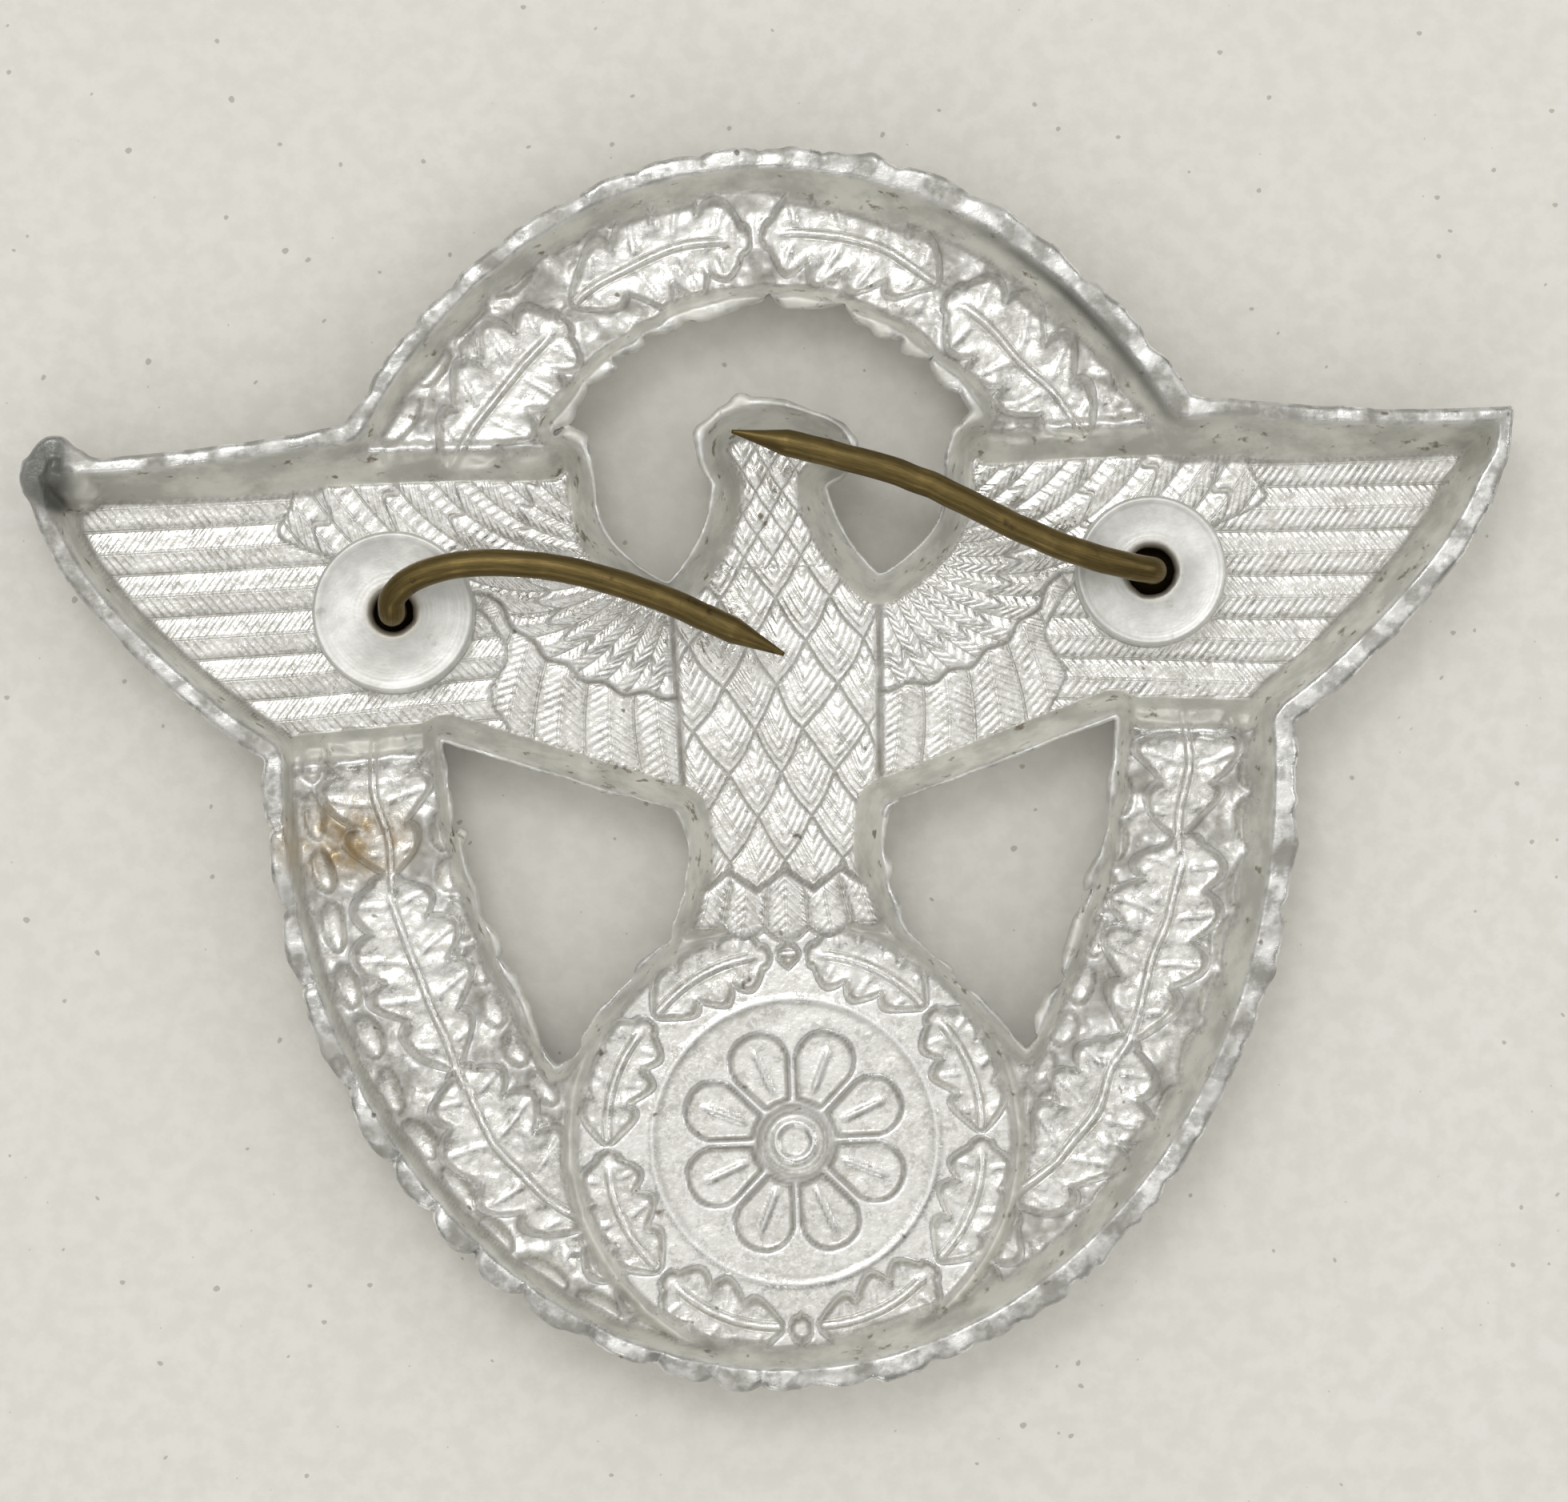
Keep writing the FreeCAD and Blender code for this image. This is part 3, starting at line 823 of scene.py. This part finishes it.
def build_pad(node, name):
    low, high = node_box(node)
    centre = (low + high) / 2
    points = node_points(node)
    spread = np.hypot(*(points - centre).T[:2])
    bore = float(spread[points[:, 2] > high[2] - 0.01].min())
    profile = pad_profile((high[0] - low[0]) / 2, bore, low[2], high[2])
    vertices = []
    for ring, (radius, height) in enumerate(profile):
        ragged = 0.07 if ring < 4 else 0.012
        for k in range(PAD_SIDES):
            turn = TAU * k / PAD_SIDES
            x, y = math.cos(turn), math.sin(turn)
            reach = radius + ragged * (float(noise(x * 3 + centre[0], y * 3, 1.1)) - 0.5)
            vertices.append((centre[0] + reach * x, centre[1] + reach * y, height))
    faces = ring_faces(len(profile), PAD_SIDES, closed=True)
    material = turned_aluminium(name, centre * MM)
    piece = add_piece(name, vertices, faces, {}, material)
    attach(piece, "badge")
    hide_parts(node)


def wire_centre_line(root, arm, pivot):
    """The middle of a wire, in mm, from its head up through the pad and along the arm to the tip."""
    root_low, _ = node_box(root)
    points = node_points(arm)
    reach = np.linalg.norm(points - pivot, axis=1)
    tip = points[reach > reach.max() - 0.08].mean(0)
    middle = []
    for distance in np.arange(1.0, reach.max() - 2.4, 0.8):
        ring = points[np.abs(reach - distance) < 0.22]
        if len(ring) > 8:
            middle.append((ring.min(0) + ring.max(0)) / 2)
    head = (pivot[0], pivot[1], root_low[2] + 0.05)
    return np.array([head, pivot - [0, 0, 0.9], pivot, *middle, tip])


def smooth_path(points):
    """A Catmull-Rom curve through the points, with places about GRID_STEP apart."""
    padded = np.vstack([2 * points[0] - points[1], points, 2 * points[-1] - points[-2]])
    places = []
    for k in range(1, len(padded) - 2):
        p0, p1, p2, p3 = padded[k - 1:k + 3]
        count = max(2, int(np.linalg.norm(p2 - p1) / GRID_STEP))
        for t in np.linspace(0, 1, count, endpoint=False):
            places.append(0.5 * (2 * p1 + (p2 - p0) * t + (2 * p0 - 5 * p1 + 4 * p2 - p3) * t**2
                                 + (3 * p1 - p0 - 3 * p2 + p3) * t**3))
    places.append(points[-1])
    return np.array(places)


def build_wire(side):
    root, arm, body = f"{side}_prong_root", f"{side}_prong_arm", f"{side}_prong"
    joint = next(j for j in frame["joints"] if j["child"] == body)
    pivot = np.array(joint["pos_m"]) / MM
    path = smooth_path(wire_centre_line(root, arm, pivot))
    steps = np.linalg.norm(np.diff(path, axis=0), axis=1)
    travelled = np.concatenate([[0], np.cumsum(steps)])
    to_tip = travelled[-1] - travelled
    tangents = np.gradient(path, axis=0)
    tangents /= np.linalg.norm(tangents, axis=1)[:, None]
    normal = np.cross(tangents[0], [0, 1, 0])
    vertices = []
    for k, (place, tangent) in enumerate(zip(path, tangents)):
        normal = normal - tangent * normal.dot(tangent)
        normal /= np.linalg.norm(normal)
        other = np.cross(tangent, normal)
        taper = min(1.0, 0.16 + to_tip[k] / WIRE_TAPER)
        head = 1.0 + 1.1 * (travelled[k] < 0.3)
        flat = 1.0 - 0.22 * (1 - taper)
        for m in range(WIRE_SIDES):
            turn = TAU * m / WIRE_SIDES
            dent = 1 + 0.035 * (float(noise(travelled[k] * 1.3, m * 0.23, 1.0)) - 0.5)
            radius = WIRE_RADIUS * head * taper * dent
            across, up = radius * math.cos(turn), radius * flat * math.sin(turn)
            vertices.append(place + normal * across + other * up)
    faces = ring_faces(len(path), WIRE_SIDES, closed=False)
    start_cap = tuple(reversed(range(WIRE_SIDES)))
    end_cap = tuple(range(len(vertices) - WIRE_SIDES, len(vertices)))
    fields = {
        "along": np.repeat(travelled, WIRE_SIDES),
        "turn": np.tile(np.arange(WIRE_SIDES) / WIRE_SIDES, len(path)),
    }
    name = f"{side}_wire_prong"
    piece = add_piece(name, vertices, [*faces, start_cap, end_cap], fields, brass_wire(name))
    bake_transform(piece)
    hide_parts(root, arm)


# ---- materials


# Colours in linear light.
METAL_DULL = (0.76, 0.752, 0.705)
METAL_BRIGHT = (0.95, 0.945, 0.905)
# Painted shade between the barbs.
TROUGH_SHADE = (0.42, 0.41, 0.37)
FLECK = (0.52, 0.51, 0.47)
# Painted glints and a painted highlight on ridges.
PAINTED_GLINT = (1.0, 1.0, 0.985)
RIDGE_HIGHLIGHT = (1.0, 1.0, 0.99)
WALL_DARK = (0.53, 0.525, 0.475)
WALL_PALE = (0.76, 0.75, 0.685)
WALL_DIRT = (0.17, 0.13, 0.085)
RIM_DARK = (0.56, 0.562, 0.54)
RIM_PALE = (0.97, 0.97, 0.95)
# Dirt and painted shade in hollows and creases.
GRIME_AND_SHADE = (0.19, 0.178, 0.14)
DUST = (0.36, 0.32, 0.25)
SPOT = (0.10, 0.07, 0.04)
# A darker crushed tip, and a painted dark reflection on a wall.
TIP_AND_PAINTED_REFLECTION = (0.10, 0.102, 0.092)
RUST = (0.37, 0.258, 0.12)
TURNED_DULL = (0.72, 0.72, 0.69)
TURNED_BRIGHT = (0.90, 0.90, 0.87)
TURNED_FLECK = (0.45, 0.45, 0.42)
# Dirt and painted shade round the pads' holes.
HOLE_GRIME_AND_SHADE = (0.40, 0.34, 0.24)
PAD_STAIN = (0.36, 0.33, 0.27)
BRASS_DARK = (0.125, 0.092, 0.034)
BRASS = (0.20, 0.144, 0.052)
BRASS_RUBBED = (0.30, 0.213, 0.076)
BRASS_SPOT = (0.05, 0.035, 0.02)
PAPER_COOL = (0.79, 0.77, 0.725)
PAPER_WARM = (0.81, 0.795, 0.75)
PAPER_MOTTLE = (0.745, 0.72, 0.665)
PAPER_FIBRE = (0.72, 0.70, 0.65)
PAPER_SPECK = (0.35, 0.31, 0.25)
SKY_EVEN = (1.2, 1.187, 1.155)
SKY_LOW = (0.36, 0.355, 0.33)
SKY_HIGH = (1.32, 1.305, 1.265)


class Nodes:
    """Short calls for building one node tree."""

    def __init__(self, owner):
        owner.use_nodes = True
        self.owner = owner
        self.tree = owner.node_tree

    def add(self, kind, settings=None, *values, **inputs):
        """A node with its first inputs in order, or any input by name."""
        node = self.tree.nodes.new("ShaderNode" + kind)
        for key, value in (settings or {}).items():
            setattr(node, key, value)
        for socket, value in zip(node.inputs, values):
            self.feed(socket, value)
        self.feed_named(node, inputs)
        return node

    def feed_named(self, node, inputs):
        for key, value in inputs.items():
            self.feed(node.inputs[key.replace("_", " ")], value)

    def feed(self, socket, value):
        if isinstance(value, bpy.types.NodeSocket):
            self.tree.links.new(value, socket)
        elif socket.type == "RGBA":
            socket.default_value = (*value, 1)
        else:
            socket.default_value = value

    def finish(self, **inputs):
        """Feeds the surface, or the world's background, and gives the owner back."""
        final = next(node for node in self.tree.nodes if node.type in ("BSDF_PRINCIPLED", "BACKGROUND"))
        self.feed_named(final, inputs)
        return self.owner

    def attribute(self, name):
        return self.add("Attribute", {"attribute_name": name}).outputs["Fac"]

    def math(self, operation, *values):
        return self.add("Math", {"operation": operation}, *values).outputs[0]

    def times(self, first, *others):
        for other in others:
            first = self.math("MULTIPLY", first, other)
        return first

    def largest(self, first, *others):
        for other in others:
            first = self.math("MAXIMUM", first, other)
        return first

    def inverse(self, value):
        return self.math("SUBTRACT", 1.0, value)

    def off(self, value, centre):
        return self.math("ABSOLUTE", self.math("SUBTRACT", value, centre))

    def vector(self, operation, a, b=(0, 0, 0), output="Vector"):
        return self.add("VectorMath", {"operation": operation}, a, b).outputs[output]

    def place(self):
        return self.add("TexCoord").outputs["Object"]

    def distance(self, x, y, stretch=(1, 1, 0)):
        """How far a place is from an upright line at x and y, in metres, with each axis scaled."""
        offset = self.vector("SUBTRACT", self.place(), (x, y, 0))
        return self.vector("LENGTH", self.vector("MULTIPLY", offset, stretch), output="Value")

    def noise(self, scale, detail, vector=None):
        place = vector or self.place()
        node = self.add("TexNoise", Vector=place, Scale=scale, Detail=detail, Roughness=0.6)
        return node.outputs["Fac"]

    def ramp(self, value, low, high, start=0.0, end=1.0):
        soft = {"interpolation_type": "SMOOTHSTEP"}
        return self.add("MapRange", soft, value, low, high, start, end).outputs[0]

    def patches(self, scale, detail, low, high, start=0.0, end=1.0):
        return self.ramp(self.noise(scale, detail), low, high, start, end)

    def mix(self, share, first, second, kind="RGBA"):
        node = self.add("Mix", {"data_type": kind}, Factor=share)
        socket, result = (6, 2) if kind == "RGBA" else (2, 0)
        self.feed(node.inputs[socket], first)
        self.feed(node.inputs[socket + 1], second)
        return node.outputs[result]

    def bump(self, height, strength, distance, normal=None):
        node = self.add("Bump", Height=height, Strength=strength, Distance=distance)
        if normal is not None:
            self.feed(node.inputs["Normal"], normal)
        return node.outputs[0]


def relief_lines(n):
    """Where the fine dark lines run: between feathers, along their shafts and beside the leaves' veins."""
    row = n.math("PINGPONG", n.attribute("row"), 0.5)
    cross_row = n.math("PINGPONG", n.attribute("cross_row"), 0.5)
    between = n.ramp(row, 0.01, 0.042, 1, 0)
    across = n.ramp(cross_row, 0.01, 0.042, 1, 0)
    shaft = n.ramp(n.off(row, 0.47), 0.006, 0.02, 0.45, 0)
    feather_lines = n.times(n.largest(between, across, shaft), n.attribute("feathers"))
    beside = n.ramp(n.off(n.off(n.attribute("vein_v"), 0), 0.2), 0.03, 0.09, 0.75, 0)
    outlines = n.ramp(n.off(n.attribute("leaf_edge"), 0), 0.02, 0.09, 0.9, 0)
    return n.largest(feather_lines, n.times(n.largest(beside, outlines), n.attribute("leaves")))


def aluminium_relief():
    """Struck aluminium: bright feathers and leaves with painted glints and ridge highlights, painted shade
    between the barbs, matt walls, a pale rim, and dirt and painted shade in the hollows.
    """
    n = Nodes(bpy.data.materials.new("struck_aluminium"))
    wall, rim, feathers = n.attribute("wall"), n.attribute("rim_face"), n.attribute("feathers")
    lines = relief_lines(n)
    stroke = n.ramp(n.math("SINE", n.times(n.attribute("barb_phase"), TAU)), -1.0, 0.9)
    broken = n.patches(700, 3, 0.3, 0.62, 0.15, 0.9)
    # Painted shade between the barbs, where the strokes dip.
    trough_shade = n.times(n.inverse(stroke), feathers, broken)
    colour = n.mix(n.patches(260, 4, 0.3, 0.7), METAL_DULL, METAL_BRIGHT)
    colour = n.mix(n.times(trough_shade, 0.28), colour, TROUGH_SHADE)
    colour = n.mix(n.patches(1500, 3, 0.36, 0.5, 0.5, 0), colour, FLECK)
    # Painted glints: small white spots in place of sparkling highlights.
    colour = n.mix(n.patches(4200, 2, 0.48, 0.6, 0, 0.7), colour, PAINTED_GLINT)
    # Painted highlight along convex ridges.
    colour = n.mix(n.times(n.attribute("ridge"), 0.7), colour, RIDGE_HIGHLIGHT)
    wall_colour = n.mix(n.patches(420, 5, 0.36, 0.64), WALL_DARK, WALL_PALE)
    wall_colour = n.mix(n.patches(1100, 4, 0.6, 0.7, 0, 0.8), wall_colour, WALL_DIRT)
    colour = n.mix(wall, colour, wall_colour)
    colour = n.mix(rim, colour, n.mix(n.patches(760, 5, 0.42, 0.56), RIM_DARK, RIM_PALE))
    # Dirt and painted shade: darker in hollows, at the walls' feet and along the fine relief lines.
    grime_and_shade = n.largest(n.attribute("cavity"), n.times(lines, 0.5))
    grime_and_shade = n.times(grime_and_shade, n.patches(520, 4, 0.25, 0.62, 0.3, 1.0))
    colour = n.mix(n.times(grime_and_shade, 0.85), colour, GRIME_AND_SHADE)
    colour = n.mix(n.times(n.patches(380, 5, 0.62, 0.76, 0, 0.4), n.inverse(rim)), colour, DUST)
    colour = n.mix(n.patches(900, 2, 0.71, 0.77, 0, 0.75), colour, SPOT)
    # Darker on the crushed wing tip, and a painted dark reflection on the top right wall.
    colour = n.mix(n.attribute("dark_tip_and_painted_reflection"), colour, TIP_AND_PAINTED_REFLECTION)
    colour = n.mix(rust_stain(n), colour, RUST)
    rough = n.mix(wall, n.patches(1500, 3, 0.3, 0.7, 0.17, 0.34), 0.48, "FLOAT")
    bare = n.inverse(n.times(wall, 0.75))
    normal = n.bump(n.times(stroke, feathers, broken), 0.42, 0.00006)
    normal = n.bump(n.inverse(lines), 0.5, 0.00006, normal)
    normal = n.bump(n.times(n.noise(3400, 3), bare), 0.5, 0.00005, normal)
    normal = n.bump(n.times(n.noise(800, 5), bare), 0.48, 0.00014, normal)
    return n.finish(
        Base_Color=colour,
        Metallic=n.mix(grime_and_shade, n.mix(wall, 0.85, 0.4, "FLOAT"), 0.2, "FLOAT"),
        Roughness=n.mix(grime_and_shade, rough, 0.7, "FLOAT"),
        Normal=normal,
    )


def rust_stain(n):
    """One soft tan stain on the left branch of the wreath, with broken edges."""
    low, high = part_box("badge_shell")
    x = low.x + 0.205 * (high.x - low.x)
    y = low.y + 0.455 * (high.y - low.y)
    near = n.ramp(n.distance(x, y, (0.75, 1.2, 0)), 0.003, 0.0008, 0, 1)
    return n.times(near, n.patches(700, 5, 0.36, 0.6, 0.25, 0.9))


def turned_aluminium(name, centre):
    """A smooth turned face with faint rings, soft stains, and dirt and painted shade round the hole."""
    n = Nodes(bpy.data.materials.new(name + "_metal"))
    radius = n.distance(centre[0], centre[1])
    ring_noise = n.add("TexNoise", {"noise_dimensions": "1D"}, W=radius, Scale=9000.0, Detail=2.0)
    rings = ring_noise.outputs["Fac"]
    colour = n.mix(n.patches(330, 4, 0.35, 0.68), TURNED_DULL, TURNED_BRIGHT)
    colour = n.mix(n.patches(1500, 5, 0.35, 0.65, 0.25, 0), colour, TURNED_FLECK)
    # Dirt and painted shade on the face round the hole.
    colour = n.mix(n.ramp(radius, 0.0015, 0.0009, 0, 0.7), colour, HOLE_GRIME_AND_SHADE)
    stains = n.patches(820, 5, 0.62, 0.74, 0, 0.45)
    tangent = n.add("Tangent", {"direction_type": "RADIAL", "axis": "Z"})
    return n.finish(
        Base_Color=n.mix(stains, colour, PAD_STAIN),
        Metallic=n.mix(stains, 0.72, 0.3, "FLOAT"),
        Roughness=n.ramp(rings, 0.3, 0.7, 0.40, 0.50),
        Anisotropic=0.35,
        Tangent=tangent.outputs[0],
        Normal=n.bump(n.noise(1700, 4), 0.45, 0.00005, n.bump(rings, 0.05, 0.00002)),
    )


def brass_wire(name):
    """Drawn brass wire, toned olive brown, brighter where it is rubbed."""
    n = Nodes(bpy.data.materials.new(name + "_brass"))
    angle = n.times(n.attribute("turn"), TAU)
    around = (n.times(n.math(function, angle), 3.0) for function in ("SINE", "COSINE"))
    stretched = n.add("CombineXYZ", None, n.times(n.attribute("along"), 0.25), *around)
    drawn = n.noise(4.0, 4, stretched.outputs[0])
    rubbed = n.noise(480, 4)
    colour = n.mix(n.ramp(drawn, 0.35, 0.68), BRASS_DARK, BRASS)
    colour = n.mix(n.ramp(rubbed, 0.5, 0.75, 0, 0.6), colour, BRASS_RUBBED)
    colour = n.mix(n.patches(900, 3, 0.62, 0.75, 0, 0.75), colour, BRASS_SPOT)
    return n.finish(
        Base_Color=colour,
        Metallic=0.9,
        Roughness=n.ramp(rubbed, 0.3, 0.75, 0.46, 0.30),
        Normal=n.bump(n.noise(2100, 4), 0.2, 0.00003, n.bump(drawn, 0.15, 0.00002)),
    )


def paper():
    """A plain pale sheet with soft mottling, faint fibres and rare specks."""
    n = Nodes(bpy.data.materials.new("pale_paper"))
    fibres = n.noise(900, 6)
    colour = n.mix(n.patches(45, 3, 0.3, 0.7), PAPER_COOL, PAPER_WARM)
    colour = n.mix(n.patches(340, 5, 0.35, 0.7, 0, 0.25), colour, PAPER_MOTTLE)
    colour = n.mix(n.ramp(fibres, 0.38, 0.62, 0, 0.6), colour, PAPER_FIBRE)
    colour = n.mix(n.patches(1900, 0, 0.82, 0.85, 0, 0.6), colour, PAPER_SPECK)
    return n.finish(Base_Color=colour, Roughness=0.9, Normal=n.bump(fibres, 0.5, 0.0001))


# ---- stage


def build_floor():
    bpy.ops.mesh.primitive_plane_add(size=6, location=(0, 0, 0))
    floor = bpy.context.object
    floor.name = "floor"
    floor.data.materials.append(paper())


def build_sky():
    """An even pale sky. In reflections it is bright overhead and at the badge's top, and dark low down."""
    world = bpy.context.scene.world or bpy.data.worlds.new("world")
    bpy.context.scene.world = world
    n = Nodes(world)
    brightest = (-0.12, 0.3, 0.946)
    direction = n.add("TexCoord").outputs["Generated"]
    towards = n.vector("DOT_PRODUCT", direction, brightest, "Value")
    reflected = n.mix(n.ramp(towards, 0.42, 0.96), SKY_LOW, SKY_HIGH)
    glossy = n.add("LightPath").outputs["Is Glossy Ray"]
    n.finish(Color=n.mix(glossy, SKY_EVEN, reflected), Strength=0.62)


def build_lights():
    places = {"key": (-0.08, 0.20, 0.42), "fill": (0.36, 0.04, 0.26), "low": (-0.10, -0.38, 0.24)}
    for name, place in places.items():
        data = bpy.data.lights.new(name, "AREA")
        data.shape = "DISK"
        data.size = 0.2
        data.energy = 0.33 if name == "key" else 0.14
        light = bpy.data.objects.new(name, data)
        light.location = place
        light.rotation_euler = (-Vector(place)).to_track_quat("-Z", "Y").to_euler()
        bpy.context.scene.collection.objects.link(light)


def build_camera():
    """Straight above the badge, which is turned a little anticlockwise in the frame."""
    turn = math.radians(2.1)
    frame_width = 69.4 * MM
    across, up = 0.14 * MM, 0.76 * MM
    focus_height = 3 * MM
    data = bpy.data.cameras.new("camera")
    data.lens = 150
    data.sensor_width = 36
    data.clip_start = 0.01
    distance = frame_width * data.lens / data.sensor_width
    camera = bpy.data.objects.new("camera", data)
    x = across * math.cos(turn) + up * math.sin(turn)
    y = up * math.cos(turn) - across * math.sin(turn)
    camera.location = (x, y, distance + focus_height)
    camera.rotation_euler = (0, 0, -turn)
    bpy.context.scene.collection.objects.link(camera)
    bpy.context.scene.camera = camera
    # Bright metal keeps its contrast with this transform.
    bpy.context.scene.view_settings.view_transform = "Standard"


build_shell(read_shell())
build_pad("left_prong_pad", "left_pad")
build_pad("right_prong_pad", "right_pad")
build_wire("left")
build_wire("right")
build_floor()
build_sky()
build_lights()
build_camera()
